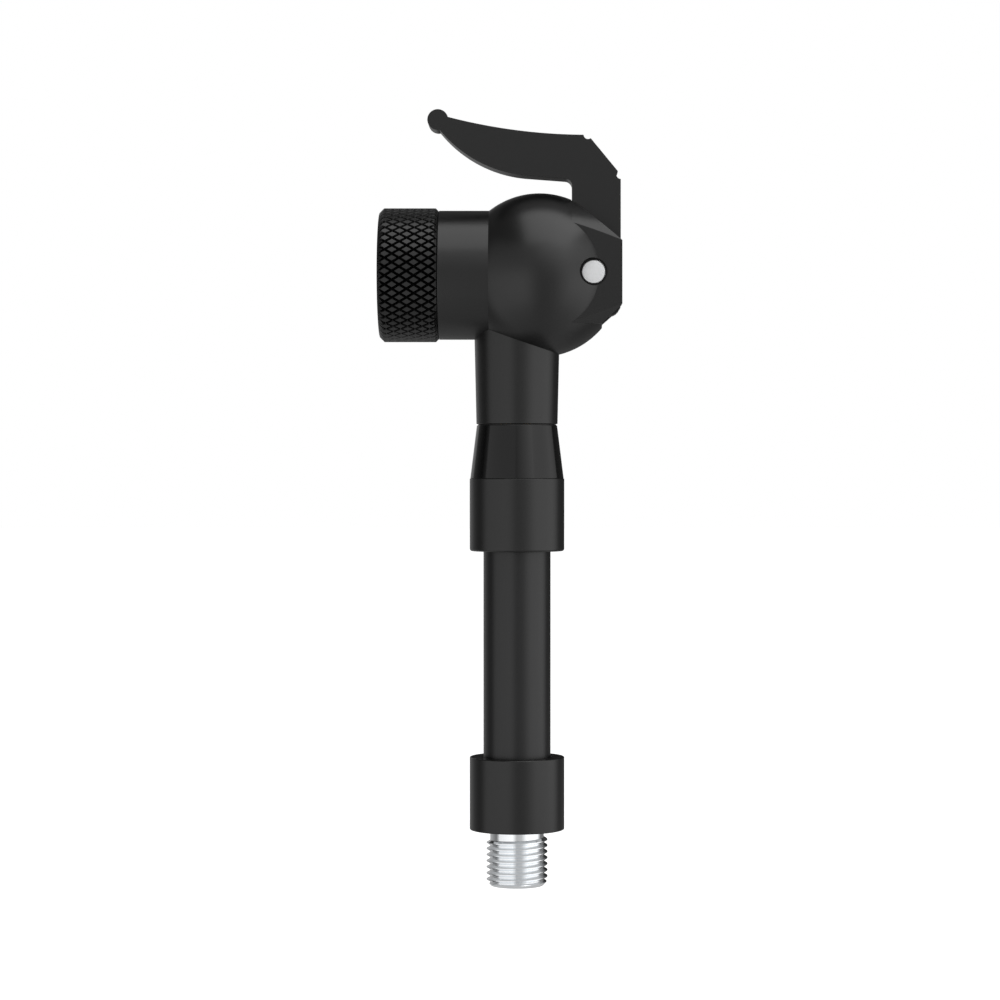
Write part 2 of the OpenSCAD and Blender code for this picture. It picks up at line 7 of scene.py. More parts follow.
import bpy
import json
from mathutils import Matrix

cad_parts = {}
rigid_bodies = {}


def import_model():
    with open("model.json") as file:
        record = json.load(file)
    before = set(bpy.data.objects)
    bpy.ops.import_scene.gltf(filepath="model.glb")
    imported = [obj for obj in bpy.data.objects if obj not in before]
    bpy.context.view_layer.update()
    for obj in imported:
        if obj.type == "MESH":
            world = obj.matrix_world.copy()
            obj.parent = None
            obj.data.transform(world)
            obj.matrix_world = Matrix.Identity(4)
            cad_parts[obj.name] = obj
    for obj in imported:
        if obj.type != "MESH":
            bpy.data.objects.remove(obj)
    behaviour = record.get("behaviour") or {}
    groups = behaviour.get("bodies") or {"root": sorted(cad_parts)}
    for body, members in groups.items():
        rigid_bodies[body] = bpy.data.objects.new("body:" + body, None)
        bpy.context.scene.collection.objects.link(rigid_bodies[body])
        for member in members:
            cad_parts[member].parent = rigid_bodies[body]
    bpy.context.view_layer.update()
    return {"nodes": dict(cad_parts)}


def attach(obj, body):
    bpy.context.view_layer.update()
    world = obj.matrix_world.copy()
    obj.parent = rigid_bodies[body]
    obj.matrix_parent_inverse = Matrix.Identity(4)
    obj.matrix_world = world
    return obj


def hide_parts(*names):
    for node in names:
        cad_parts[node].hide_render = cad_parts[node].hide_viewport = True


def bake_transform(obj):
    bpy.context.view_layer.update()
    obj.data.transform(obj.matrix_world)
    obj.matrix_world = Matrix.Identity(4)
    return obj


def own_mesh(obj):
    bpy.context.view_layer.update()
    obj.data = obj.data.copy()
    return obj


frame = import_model()

# %% Modules and units
import json
import math

import bmesh
import bpy
from mathutils import Matrix, Vector

MM = 0.001
scene = bpy.context.scene

# %% [markdown]
# ## Sizes of the real object
# The hose's axis is Z, and the head's axis runs along X at `HEAD`. The sizes are those of the solids, so that each
# piece lands exactly on the node that it stands for.

# %% Places along the hose's axis
STUB_END = -9.2
LOWER_TOP = 11.9
UPPER_FOOT = 45.6
UPPER_TOP = 57.5
TAPER_TOP = 66.2
NECK_FOOT = 66.4
JOURNAL_TOP = 78.8
HEAD = 90.8

# %% Places along the head's axis
CAP_FRONT = -22.45
CAP_FLOOR = -20.45
CAP_REAR = -12.85
SHOULDER = -12.8
SPIGOT_FRONT = -19.45
SEAL_FRONT = -20.4
SEAL_BACK = -12.4
PISTON_FRONT = -11.3
BORE_END = 9.05
BALL_X = 3.7
FACET_START = 9.2
PIN_X = 12.4
HEEL_START = 13.9
TAIL = 17.05
LEVER_BACK = 16.95

# %% Radii and widths
THREAD_R = 5.0
FERRULE_R = 7.75
HOSE_R = 5.5
BALL_R = 13.4
BARREL_R = 10.55
CAP_R = 10.95
SPIGOT_R = 8.5
CHAMBER_R = 7.08
CYLINDER_R = 6.04
PIN_R = 1.95
CHEEK_HALF = 9.3
SLOT_HALF = 3.0
LEVER_HALF = 2.9
BACK_HEIGHT = 5.1
ROUND_STEPS = 160

# %% [markdown]
# ## From numbers to meshes
# Nearly every piece here was turned on a lathe, so one helper spins an outline of `(radius, height)` corners about
# Z. A third number on a corner is the size of its rounding: real edges are always broken a little, and that thin
# band is what catches the light. The long lines of an outline can be divided, for a piece that has to bend. The
# head's pieces are spun about Z too, then tipped over onto the head's axis, which keeps right-hand threads
# right-hand.


# %% A mesh object from points in millimetres
def piece_from(name, points, faces):
    mesh = bpy.data.meshes.new(name)
    mesh.from_pydata([(x * MM, y * MM, z * MM) for x, y, z in points], [], faces)
    piece = bpy.data.objects.new(name, mesh)
    scene.collection.objects.link(piece)
    return piece


# %% Close seams, drop collapsed faces and point all normals outwards
def cleaned(piece, gap=0.0005):
    bm = bmesh.new()
    bm.from_mesh(piece.data)
    bmesh.ops.remove_doubles(bm, verts=bm.verts, dist=gap * MM)
    bmesh.ops.dissolve_degenerate(bm, edges=bm.edges, dist=gap * MM / 2)
    bmesh.ops.recalc_face_normals(bm, faces=bm.faces)
    open_edges = sum(1 for edge in bm.edges if not edge.is_manifold)
    bm.to_mesh(piece.data)
    bm.free()
    if open_edges:
        print("  open edges in", piece.name, open_edges)
    return piece


# %% Round the corners of a closed outline, each within its half of a side
HALF_SIDE = 0.48


def eased(outline, steps=5):
    out = []
    for i, corner in enumerate(outline):
        here = Vector(corner[:2])
        before = Vector(outline[i - 1][:2]) - here
        after = Vector(outline[(i + 1) % len(outline)][:2]) - here
        radius = corner[2] if len(corner) > 2 else 0
        if radius == 0 or before.length == 0 or after.length == 0:
            out.append(tuple(here))
            continue
        half = before.angle(after) / 2
        reach = min(radius / math.tan(half), HALF_SIDE * before.length, HALF_SIDE * after.length)
        radius = reach * math.tan(half)
        centre = here + (before.normalized() + after.normalized()).normalized() * radius / math.sin(half)
        first = here + before.normalized() * reach - centre
        last = here + after.normalized() * reach - centre
        turn = first.angle_signed(last)
        for k in range(steps + 1):
            a = -turn * k / steps
            spun = Vector((first.x * math.cos(a) - first.y * math.sin(a),
                           first.x * math.sin(a) + first.y * math.cos(a)))
            out.append(tuple(centre + spun))
    return out


# %% Spin an outline about Z
LONG_LINE = 5


def turned(name, outline, steps=ROUND_STEPS, parts=None):
    corners = eased(outline)
    if parts:
        corners = [p for a, b in zip(corners, corners[1:] + corners[:1])
                   for p in [a] + [(a[0] + (b[0] - a[0]) * k / parts, a[1] + (b[1] - a[1]) * k / parts)
                                   for k in range(1, parts) if abs(b[1] - a[1]) > LONG_LINE]]
    count = len(corners)
    points, faces = [], []
    for i in range(steps):
        a = 2 * math.pi * i / steps
        points += [(r * math.cos(a), r * math.sin(a), z) for r, z in corners]
    for i in range(steps):
        here, there = i * count, (i + 1) % steps * count
        faces += [(here + j, there + j, there + (j + 1) % count, here + (j + 1) % count) for j in range(count)]
    return cleaned(piece_from(name, points, faces))


# %% Tip a piece from Z onto the head's axis
ONTO_HEAD = Matrix.Translation((0, 0, HEAD * MM)) @ Matrix.Rotation(math.pi / 2, 4, "Y")


def on_head_axis(piece):
    piece.data.transform(ONTO_HEAD)
    return piece


# %% A straight-sided block from the four corners of its foot and its top height
def block(name, foot, top):
    points = list(foot) + [(x, y, top) for x, y, z in foot]
    faces = [(3, 2, 1, 0), (4, 5, 6, 7), (0, 1, 5, 4), (1, 2, 6, 5), (2, 3, 7, 6), (3, 0, 4, 7)]
    return cleaned(piece_from(name, points, faces))


# %% Turn a piece's modifiers into its own mesh
def settled(piece):
    bpy.context.view_layer.update()
    result = bpy.data.meshes.new_from_object(piece.evaluated_get(bpy.context.evaluated_depsgraph_get()))
    piece.modifiers.clear()
    piece.data = result


# %% Join or cut two closed meshes
def combined(piece, other, how):
    modifier = piece.modifiers.new(how.title(), "BOOLEAN")
    modifier.operation = how
    modifier.solver = "EXACT"
    modifier.object = other
    settled(piece)
    bpy.data.objects.remove(other)


# %% [markdown]
# ## Broken edges
# A machinist runs a file or a tumbler over sharp edges before anodising. Only outside corners are broken, so the
# helper picks the convex edges above a given angle and bevels them. `softened` then marks the edges that stay
# crisp and shades the rest smoothly. Where a piece has broad milled flats, `flat_area` (in square millimetres) says
# from which size on a face keeps crisp borders, so that a flat mirrors one even tone.


# %% Bevel the convex edges
MERGED, TINY, NEARLY_FLAT = 0.02, 0.01, 0.3


def edges_broken(piece, width, least_angle=22, segments=2, wanted=None):
    bm = bmesh.new()
    bm.from_mesh(piece.data)
    bmesh.ops.remove_doubles(bm, verts=bm.verts, dist=MERGED * MM)
    bmesh.ops.dissolve_degenerate(bm, edges=bm.edges, dist=TINY * MM)
    bmesh.ops.dissolve_limit(bm, angle_limit=math.radians(NEARLY_FLAT), verts=bm.verts, edges=bm.edges)
    least = math.radians(least_angle)
    picked = [edge for edge in bm.edges if edge.is_manifold and edge.calc_face_angle_signed() > least
              and (wanted is None or wanted((edge.verts[0].co + edge.verts[1].co) / 2 / MM))]
    bmesh.ops.bevel(bm, geom=picked, offset=width * MM, offset_type="OFFSET", segments=segments, profile=0.5,
                    affect="EDGES", clamp_overlap=True)
    bm.to_mesh(piece.data)
    bm.free()
    print("  broke", len(picked), "edges of", piece.name)


# %% Smooth shading between crisp edges
LARGE_FACES_LEAD = 60


def softened(piece, crisp_angle=24, weighted=True, flat_area=None):
    piece.data.shade_smooth()
    piece.data.set_sharp_from_angle(angle=math.radians(crisp_angle))
    if flat_area:
        flats = [face for face in piece.data.polygons
                 if len(face.vertices) > 4 and face.area > flat_area * MM * MM]
        around_flats = {key for face in flats for key in face.edge_keys}
        for edge in piece.data.edges:
            edge.use_edge_sharp = edge.use_edge_sharp or edge.key in around_flats
    if weighted:
        modifier = piece.modifiers.new("Flat faces stay flat", "WEIGHTED_NORMAL")
        modifier.keep_sharp = True
        modifier.weight = LARGE_FACES_LEAD
        settled(piece)


# %% [markdown]
# ## Colours and shader nodes
# Colours are written as sRGB hex, as a colour picker shows them, and one function turns them into the linear
# numbers that Blender shades with. One more function adds a shader node with its settings and its links. It takes
# a socket by its name, with `_` for a space, or by its place, as `i0`, `i1` and so on.


# %% sRGB hex to linear
def linear(hex_colour):
    channels = [int(hex_colour[i:i + 2], 16) / 255 for i in (1, 3, 5)]
    return tuple(c / 12.92 if c <= 0.04045 else ((c + 0.055) / 1.055) ** 2.4 for c in channels) + (1.0,)


# %% Add a node with its settings and links
def add_node(tree, kind, settings=(), **inputs):
    node = tree.nodes.new(kind)
    for key, value in dict(settings).items():
        setattr(node, key, value)
    for key, value in inputs.items():
        numbered = key[0] == "i" and key[1:].isdigit()
        socket = node.inputs[int(key[1:]) if numbered else key.replace("_", " ")]
        if isinstance(value, bpy.types.NodeSocket):
            tree.links.new(value, socket)
        else:
            socket.default_value = value
    return node


# %% An empty node material
def new_material(name):
    material = bpy.data.materials.new(name)
    material.use_nodes = True
    material.node_tree.nodes.clear()
    return material, material.node_tree


# %% Close a material: one pattern varies its roughness by `spread` and gives relief `depth` millimetres deep
def surface(tree, colour, pattern, roughness, spread, strength, depth, metallic=0.0, ior=1.5):
    rough = add_node(tree, "ShaderNodeMapRange", Value=pattern, i3=roughness - spread, i4=roughness + spread)
    bump = add_node(tree, "ShaderNodeBump", Height=pattern, Strength=strength, Distance=depth * MM)
    skin = add_node(tree, "ShaderNodeBsdfPrincipled", Base_Color=colour, Roughness=rough.outputs[0],
                    Normal=bump.outputs[0], Metallic=metallic, IOR=ior)
    add_node(tree, "ShaderNodeOutputMaterial", Surface=skin.outputs[0])


# %% [markdown]
# ## Satin black anodised aluminium
# The ferrules, the housing, the lever and the cap are 6061 aluminium, fine-blasted and anodised black. The dyed
# oxide is a clear, hard skin over a dark ground: it is matt in colour, but has a soft broad sheen. So the base is
# a near-black with no metal in it, and the roughness is middling. Blasting leaves dimples about 0.1 mm across;
# they are drawn at 0.3 mm, because finer ones are lost between two picture elements. The dye takes a little
# unevenly, in patches about 9 mm wide. The knurl's copy is rougher, and its base is a shade darker: that is painted
# shade, for the shade that falls in its grooves.

# %% Black anodised finish, fine blasted
BLAST_GRAIN = 0.3
DYE_PATCH = 9


def black_anodised(name, colour="#0a0a0a", paler="#0d0d0d", roughness=0.3):
    material, tree = new_material(name)
    place = add_node(tree, "ShaderNodeTexCoord")
    dimples = add_node(tree, "ShaderNodeTexNoise", Vector=place.outputs["Object"], Scale=1 / (BLAST_GRAIN * MM),
                       Detail=2.0)
    patches = add_node(tree, "ShaderNodeTexNoise", Vector=place.outputs["Object"], Scale=1 / (DYE_PATCH * MM),
                       Detail=3.0)
    tone = add_node(tree, "ShaderNodeMix", {"data_type": "RGBA"}, Factor=patches.outputs["Fac"],
                    i6=linear(colour), i7=linear(paler))
    surface(tree, tone.outputs[2], dimples.outputs["Fac"], roughness, spread=0.03, strength=0.25, depth=0.002)
    return material


housing_black = black_anodised("satin black anodised aluminium")
ferrule_black = black_anodised("black anodised turned ferrule")
lever_black = black_anodised("black anodised lever plate")
# The knurl's copy has a darker base colour: painted shade for the shade in its grooves.
knurl_black_painted_groove_shade = black_anodised("black anodised knurl, darkened as painted groove shade", "#060606", "#090909", roughness=0.33)
print("anodised finishes:", [m.name for m in (housing_black, ferrule_black, lever_black, knurl_black_painted_groove_shade)])

# %% [markdown]
# ## Bright plated thread
# The stub is machined brass or steel with bright nickel plating. The plating copies the tool marks under it, which
# run round the part. So a noise is squeezed along the turning axis into rings. The real ones are 0.05 mm apart and
# are drawn at 0.12 mm to show at all.

# %% Bright nickel over turned metal
TOOL_MARK = 0.12
SQUEEZE = 30.0


def turned_metal(name, colour, roughness, depth=0.004, along=2):
    material, tree = new_material(name)
    place = add_node(tree, "ShaderNodeTexCoord")
    squeezed = [SQUEEZE if axis == along else 1.0 for axis in range(3)]
    rings = add_node(tree, "ShaderNodeMapping", Vector=place.outputs["Object"], Scale=squeezed)
    marks = add_node(tree, "ShaderNodeTexNoise", Vector=rings.outputs[0], Scale=1 / (SQUEEZE * TOOL_MARK * MM),
                     Detail=3.0)
    surface(tree, linear(colour), marks.outputs["Fac"], roughness, spread=0.05, strength=0.3, depth=depth,
            metallic=1.0)
    return material


plated_thread = turned_metal("bright nickel plated thread", "#f6f8fa", 0.14, depth=0.0005)
turned_brass = turned_metal("turned brass", "#c9a86a", 0.3, along=0)
stem_brass = turned_metal("turned brass stem", "#c9a86a", 0.3)
washer_steel = turned_metal("plain steel washer", "#b8bbbd", 0.32, along=0)
spring_steel = turned_metal("bright spring steel", "#b4b6b8", 0.28)
print("turned metals drawn with tool marks", TOOL_MARK, "mm apart")

# %% [markdown]
# ## The pin's faced ends
# The pin was parted off in a lathe, so its ends have fine rings about its own axis. A wave texture in ring mode,
# centred on the pin, gives them; they are 0.1 mm apart on the real part, and 0.2 mm here.

# %% Ground steel with faced ends
FACING_MARK = 0.2
WAVES_PER_UNIT = 20 / 6.28


def faced_steel(name, colour, roughness, centre):
    material, tree = new_material(name)
    place = add_node(tree, "ShaderNodeTexCoord")
    centred = add_node(tree, "ShaderNodeMapping", Vector=place.outputs["Object"],
                       Location=[-c * MM for c in centre])
    rings = add_node(tree, "ShaderNodeTexWave", {"wave_type": "RINGS", "rings_direction": "Y"},
                     Vector=centred.outputs[0], Scale=1 / (WAVES_PER_UNIT * FACING_MARK * MM), Distortion=0.4,
                     Detail=2.0)
    surface(tree, linear(colour), rings.outputs["Fac"], roughness, spread=0.04, strength=0.15, depth=0.004,
            metallic=1.0)
    return material


pin_steel = faced_steel("ground steel with faced ends", "#f0f1f2", 0.38, (PIN_X, 0, HEAD))
print("facing marks on the pin:", FACING_MARK, "mm apart")

# %% [markdown]
# ## Rubber
# The hose is extruded from black nitrile rubber. Extrusion drags faint streaks along its length and leaves a skin
# between matt and satin. The O-rings and the valve seal are moulded from the same rubber, without the streaks. The
# skin's grain is about 0.1 mm and is drawn at 0.4 mm to show. Rubber also blooms: it pales in soft patches.

# %% Black rubber, with or without extrusion streaks
SKIN_GRAIN = 0.4
BLOOM_PATCH = 6


def black_rubber(name, colour="#0a0a0b", paler="#0e0e0f", roughness=0.31, streaks=1.0):
    material, tree = new_material(name)
    place = add_node(tree, "ShaderNodeTexCoord")
    drawn = add_node(tree, "ShaderNodeMapping", Vector=place.outputs["Object"], Scale=(1.0, 1.0, streaks))
    skin = add_node(tree, "ShaderNodeTexNoise", Vector=drawn.outputs[0], Scale=1 / (SKIN_GRAIN * MM), Detail=3.0)
    bloom = add_node(tree, "ShaderNodeTexNoise", Vector=place.outputs["Object"], Scale=1 / (BLOOM_PATCH * MM),
                     Detail=2.0)
    tone = add_node(tree, "ShaderNodeMix", {"data_type": "RGBA"}, Factor=bloom.outputs["Fac"],
                    i6=linear(colour), i7=linear(paler))
    surface(tree, tone.outputs[2], skin.outputs["Fac"], roughness, spread=0.04, strength=0.2, depth=0.002)
    return material


hose_rubber = black_rubber("extruded black nitrile rubber", streaks=0.03)
moulded_rubber = black_rubber("moulded black nitrile rubber", roughness=0.42)
print("rubbers:", hose_rubber.name, "and", moulded_rubber.name)

# %% [markdown]
# ## Polished black moulding
# The tapered collar is a black thermoplastic moulded in a polished tool. It mirrors the studio in sharp bands,
# so its roughness is very low, with only a trace of waviness, some 5 mm long, from the moulding's shrinkage. The
# nylon washer under the neck is matt and takes the rubber's function with other numbers.

# %% Polished black plastic
SHRINK_WAVE = 5


def polished_black(name, colour="#040404", roughness=0.12):
    material, tree = new_material(name)
    place = add_node(tree, "ShaderNodeTexCoord")
    shrink = add_node(tree, "ShaderNodeTexNoise", Vector=place.outputs["Object"], Scale=1 / (SHRINK_WAVE * MM),
                      Detail=1.0)
    surface(tree, linear(colour), shrink.outputs["Fac"], roughness, spread=0.02, strength=0.1, depth=0.01, ior=1.49)
    return material


collar_black = polished_black("polished black moulding")
washer_black = black_rubber("black nylon washer", colour="#060606", roughness=0.45)
print("plastics:", collar_black.name, "and", washer_black.name)

# %% [markdown]
# ## From a mesh to a piece of the chuck
# Each piece takes the place of a solid, and all but the hose move with that solid's body. One helper gives a piece
# its material and says which body it rides on and which solid it replaces. The hose lies between two bodies; its
# blend is handed to the helper but not carried out, so it stays put on no body.


# %% Give a piece its material and body, the hose none, and hide the nodes that it replaces
def finished(piece, body, material, slot, *nodes, blend=None):
    piece.data.materials.clear()
    piece.data.materials.append(material)
    if blend:
        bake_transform(piece)
    else:
        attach(piece, body)
    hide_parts(*nodes)
    print(f"{piece.name}: {len(piece.data.vertices)} points, replaces {nodes}")


# %% [markdown]
# ## The threaded stub
# An M10 x 1 external thread is one ridge that climbs 1 mm in each turn. The mesh is made in columns around the
# stub. Each column holds the ridge's outline, and each is lifted a little above the one before, so that after a
# full turn it has climbed one pitch. Where the last column meets the first, row `j` joins row `j + one turn`.
# The depth, the flats on the crests and the 60 degree flanks are shares of the pitch, as in every metric thread. An
# envelope holds the radius down to the chamfer at the tip, and the ridge runs out a quarter turn below the seat.

# %% A helical thread on a closed round body
FLANK_TAN = math.tan(math.radians(30))
THREAD_DEPTH = 0.6134
CREST = 1 / 16
RUN_OUT = 0.25


def threaded(name, crest_r, pitch, low, high, envelope, inner, shift=0.0, last_turn=None, columns=144):
    depth = THREAD_DEPTH * pitch
    flank = depth * FLANK_TAN / pitch
    shape = [(-CREST, 0), (CREST, 0)] + [(CREST + flank * k / 4, depth * k / 4) for k in (1, 2, 3, 4)]
    shape += [(1 - CREST - flank * k / 4, depth * k / 4) for k in (4, 3, 2, 1)]
    first, turns = math.floor(low / pitch) - 2, math.ceil((high - low) / pitch) + 4
    rows = len(shape) * turns
    points, faces = [], []
    for i in range(columns):
        a = 2 * math.pi * i / columns
        for j in range(rows):
            phase, drop = shape[j % len(shape)]
            turn = first + j // len(shape) + i / columns
            if last_turn is not None:
                fade = min(max((turn + (phase > 0.5) - last_turn) / RUN_OUT, 0.0), 1.0)
                drop = max(drop, depth * fade)
            z = (turn + phase) * pitch + shift
            held = min(max(z, low), high)
            r = min(crest_r - drop, envelope(held)) if held == z else min(crest_r - depth, envelope(held))
            points.append((r * math.cos(a), r * math.sin(a), held))
    for i in range(columns):
        there, lift = ((i + 1) * rows, 0) if i + 1 < columns else (0, len(shape))
        faces += [(i * rows + j, there + j + lift, there + j + lift + 1, i * rows + j + 1)
                  for j in range(rows - lift - 1)]
    start = len(points)
    loop = ([(min(crest_r - depth, envelope(low)), low)] + inner
            + [(min(crest_r - depth, envelope(high)), high)])
    for i in range(columns):
        a = 2 * math.pi * i / columns
        points += [(r * math.cos(a), r * math.sin(a), z) for r, z in loop]
    for i in range(columns):
        here, there = start + i * len(loop), start + (i + 1) % columns * len(loop)
        faces += [(here + j, here + j + 1, there + j + 1, there + j) for j in range(len(loop) - 1)]
    return cleaned(piece_from(name, points, faces))


# %% The stub, with chamfer, shank, barbed tail and air bore
PITCH = 1.0
FIRST_CREST, LAST_TURN = 0.35, -2
STUB_CHAMFER = 0.8
AIR_R, LEAD_IN = 1.5, 0.35
SHANK_FOOT, SHANK_R, FLANGE_FOOT, FLANGE_R = 0.3, 5.2, 1.52, 5.45
BARB_FOOT, TAIL_TOP, BARB_COUNT, BARB_R, BARB_ROOT = 3.0, 10.9, 4, 2.7, 2.2
TIP_R = THREAD_R - STUB_CHAMFER + 0.04


def stub_envelope(z):
    return min(THREAD_R, TIP_R + z - STUB_END)


barb_step = (TAIL_TOP - BARB_FOOT) / BARB_COUNT
inside = [(AIR_R + LEAD_IN, STUB_END), (AIR_R, STUB_END + LEAD_IN), (AIR_R, TAIL_TOP)]
for k in reversed(range(BARB_COUNT)):
    foot = BARB_FOOT + k * barb_step
    inside += [(BARB_ROOT, foot + barb_step), (BARB_R, foot + 0.2 * barb_step), (BARB_R, foot)]
inside += [(FLANGE_R, BARB_FOOT), (FLANGE_R, FLANGE_FOOT), (SHANK_R, FLANGE_FOOT), (SHANK_R, SHANK_FOOT)]
stub = threaded("threaded_stub", THREAD_R, PITCH, STUB_END, SHANK_FOOT, stub_envelope, inside, shift=FIRST_CREST,
                last_turn=LAST_TURN)
softened(stub, crisp_angle=30, weighted=False)
finished(stub, "hose_end", plated_thread, "plated_stub", "threaded_fitting")

# %% [markdown]
# ## Ferrules
# Both ferrules are turned aluminium cups, crimped around the hose. The lower one has crisp edges and a flat face
# that seats on the inflator, and the upper one has a rounder lower lip.

# %% Both crimp ferrules
FERRULE_BORE, SHANK_BORE, STEM_BORE = 5.55, 5.22, 4.77
WEB = 1.5
EDGE, LIP_ROUND, FINE = 0.12, 0.4, 0.1

lower_ferrule = turned("crimp_ferrule_lower", [
    (SHANK_BORE, 0, FINE), (FERRULE_R, 0, EDGE + 0.05), (FERRULE_R, LOWER_TOP, EDGE + 0.03),
    (FERRULE_BORE, LOWER_TOP, FINE), (FERRULE_BORE, WEB), (SHANK_BORE, WEB)])
softened(lower_ferrule)
finished(lower_ferrule, "hose_end", ferrule_black, "black_ferrule", "lower_ferrule")

upper_ferrule = turned("crimp_ferrule_upper", [
    (FERRULE_BORE, UPPER_FOOT, FINE), (FERRULE_R, UPPER_FOOT, LIP_ROUND), (FERRULE_R, UPPER_TOP, EDGE),
    (STEM_BORE, UPPER_TOP), (STEM_BORE, UPPER_TOP - WEB), (FERRULE_BORE, UPPER_TOP - WEB)])
softened(upper_ferrule)
finished(upper_ferrule, "hose_top", ferrule_black, "black_ferrule", "upper_ferrule")

# %% [markdown]
# ## Hose
# The hose is a plain tube, but it has to bend when the joint at its middle turns, so its long sides are divided.
# The blend that would keep the last 0.6 mm beside each ferrule with them is passed along but not carried out.

# %% The rubber hose
END_INSET = 3.05
HOSE_BORE = 2.75
HELD = 0.6
hose = turned("rubber_hose", [
    (HOSE_BORE, END_INSET), (HOSE_R, END_INSET), (HOSE_R, UPPER_TOP - END_INSET), (HOSE_BORE, UPPER_TOP - END_INSET)],
    steps=128, parts=64)
softened(hose, weighted=False)
finished(hose, "hose_end", hose_rubber, "hose_rubber", "hose",
         blend=("hose_end", "hose_top", (0, 0, (LOWER_TOP + HELD) * MM), (0, 0, (UPPER_FOOT - HELD) * MM)))

# %% [markdown]
# ## Tapered collar
# A cone with small, polished edges. Its only job is to hide the swivel, and it is the glossiest piece. A nylon
# washer lies between it and the turning neck. Its edge shows as a dark line, so it reaches nearly to the outside.

# %% The tapered collar
TAPER_TOP_R = 6.575
taper = turned("tapered_collar_moulding", [
    (STEM_BORE, UPPER_TOP), (FERRULE_R - 0.1, UPPER_TOP, 0.08), (TAPER_TOP_R, TAPER_TOP, FINE),
    (STEM_BORE, TAPER_TOP)])
softened(taper)
finished(taper, "hose_top", collar_black, "gloss_collar", "tapered_collar")

# %% The washer in the swivel's gap
WASHER_R, WASHER_BORE, WASHER_TOP = 6.4, 4.02, NECK_FOOT - 0.05
washer = turned("nylon_washer", [
    (WASHER_BORE, TAPER_TOP), (WASHER_R, TAPER_TOP), (WASHER_R, WASHER_TOP, 0.06), (WASHER_BORE, WASHER_TOP)])
softened(washer)
finished(washer, "hose_top", washer_black, "washer_plastic", "swivel_washer")

# %% [markdown]
# ## Housing
# The real housing is one machined block, and it is built here as its machinist thinks of it. A ball and a slightly
# tapered tail are turned about the head's axis. The tail's two cheeks and its foot are milled flat, and one sloping
# cut above and one below narrow it towards the back. A barrel and a neck run into the ball, and then the bores, the
# lever's slot and the pin hole are cut. Booleans keep the creases between them exact.

# %% A ball, and the slopes of the milling cuts
def ball(name, radius, centre_x, across=144, down=72):
    points = [(centre_x + radius * math.cos(math.pi * j / down),
               radius * math.sin(math.pi * j / down) * math.cos(2 * math.pi * i / across),
               HEAD + radius * math.sin(math.pi * j / down) * math.sin(2 * math.pi * i / across))
              for i in range(across) for j in range(down + 1)]
    faces = [(i * (down + 1) + j, (i + 1) % across * (down + 1) + j,
              (i + 1) % across * (down + 1) + j + 1, i * (down + 1) + j + 1)
             for i in range(across) for j in range(down)]
    return cleaned(piece_from(name, points, faces))


def footprint(x0, x1, y0, y1, height_at):
    return [(x, y, height_at(x, y)) for x, y in ((x0, y0), (x1, y0), (x1, y1), (x0, y1))]


def falling(slope):
    return lambda x, y: HEAD + BACK_HEIGHT + (TAIL - x) * math.tan(math.radians(slope))


def below_axis(height_at):
    return lambda x, y: 2 * HEAD - height_at(x, y)


# %% Ball, tail, cheeks and sloping cuts
CHEEK_DROP = 8.23
TAIL_ROOT, TAIL_ROOT_R, TAIL_TAPER = 6.45, 12.79, 11.7
ROOF_SLOPE, HEEL_SLOPE = 41, 42
FAR_UP, FAR_DOWN, FAR_SIDE, FAR_BACK = HEAD + 30, HEAD - 30, 20, 30
housing = ball("chuck_housing", BALL_R, BALL_X)
tail_end = TAIL + 1
tail_end_r = TAIL_ROOT_R - (tail_end - TAIL_ROOT) * math.tan(math.radians(TAIL_TAPER))
tail = on_head_axis(turned("tail", [
    (0, TAIL_ROOT), (TAIL_ROOT_R, TAIL_ROOT), (tail_end_r, tail_end), (0, tail_end)], steps=192))
combined(tail, block("cheeks", footprint(TAIL_ROOT - 1, FAR_BACK, -CHEEK_HALF, CHEEK_HALF,
                                         lambda x, y: HEAD - CHEEK_DROP), FAR_UP), "INTERSECT")
combined(housing, tail, "UNION")
for start, height_at, end in ((FACET_START, falling(ROOF_SLOPE), FAR_UP),
                              (HEEL_START, below_axis(falling(HEEL_SLOPE)), FAR_DOWN)):
    combined(housing, block("facet", footprint(start, FAR_BACK, -FAR_SIDE, FAR_SIDE, height_at), end), "DIFFERENCE")
combined(housing, block("back", footprint(TAIL, FAR_BACK, -FAR_SIDE, FAR_SIDE, lambda x, y: FAR_DOWN), FAR_UP),
         "DIFFERENCE")
print("ball and cheeks:", len(housing.data.polygons), "faces")

# %% Barrel and neck
NECK_FOOT_R, NECK_TOP_R = 6.65, 7.2
barrel = on_head_axis(turned("barrel", [
    (0, SHOULDER), (BARREL_R, SHOULDER, 0.16), (BARREL_R, BALL_X), (0, BALL_X)]))
neck = turned("neck", [(0, NECK_FOOT), (NECK_FOOT_R, NECK_FOOT, EDGE), (NECK_TOP_R, HEAD), (0, HEAD)])
combined(housing, barrel, "UNION")
combined(housing, neck, "UNION")
print("with barrel and neck:", len(housing.data.polygons), "faces")

# %% Bores, slot and pin hole
def bar(name, radius, low, high, steps=96):
    return turned(name, [(0, low), (radius, low), (radius, high), (0, high)], steps=steps)


def across(piece):
    piece.data.transform(Matrix.Translation((PIN_X * MM, 0, HEAD * MM)) @ Matrix.Rotation(math.pi / 2, 4, "X"))
    return piece


